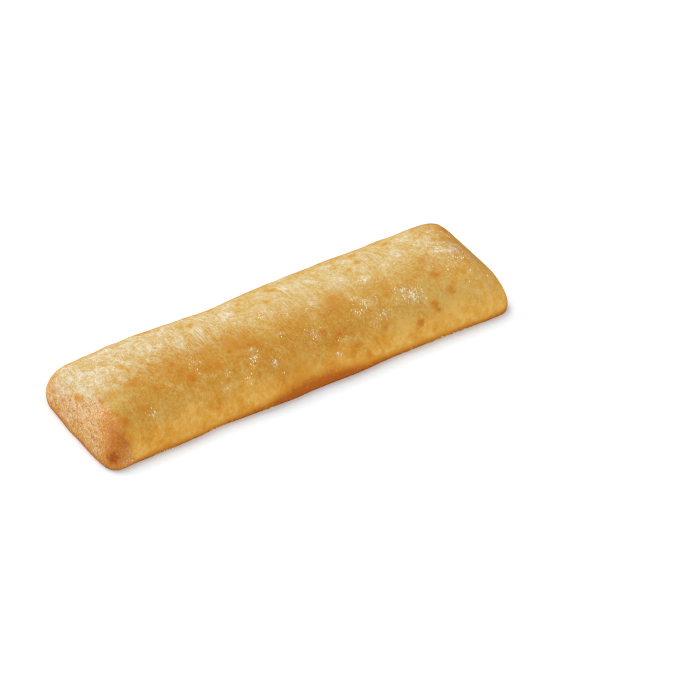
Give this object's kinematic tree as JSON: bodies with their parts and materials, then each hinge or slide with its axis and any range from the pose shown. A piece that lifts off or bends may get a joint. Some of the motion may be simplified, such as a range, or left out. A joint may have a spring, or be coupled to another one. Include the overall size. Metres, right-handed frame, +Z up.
{
  "type": "ciabatta top half",
  "caption": "Top half of a long sandwich ciabatta, sliced level: a low, square-ended dome of golden floury crust that rests on its flat, open-pored crumb.",
  "frame": {"origin": "middle of the flat cut face, under the centre of the loaf's plan", "axes": "+X along the loaf, towards its right end as seen from the front; +Y across it, towards the back; +Z up through the crust's crown"},
  "size_m": [0.2696, 0.0838, 0.0317],
  "materials": {
    "crust": "baked golden crust with a thin dust of flour, satin; cream open crumb on the cut face, matt"
  },
  "bodies": {
    "root": {"ciabatta_top_half": "crust"}
  },
  "joints": []
}
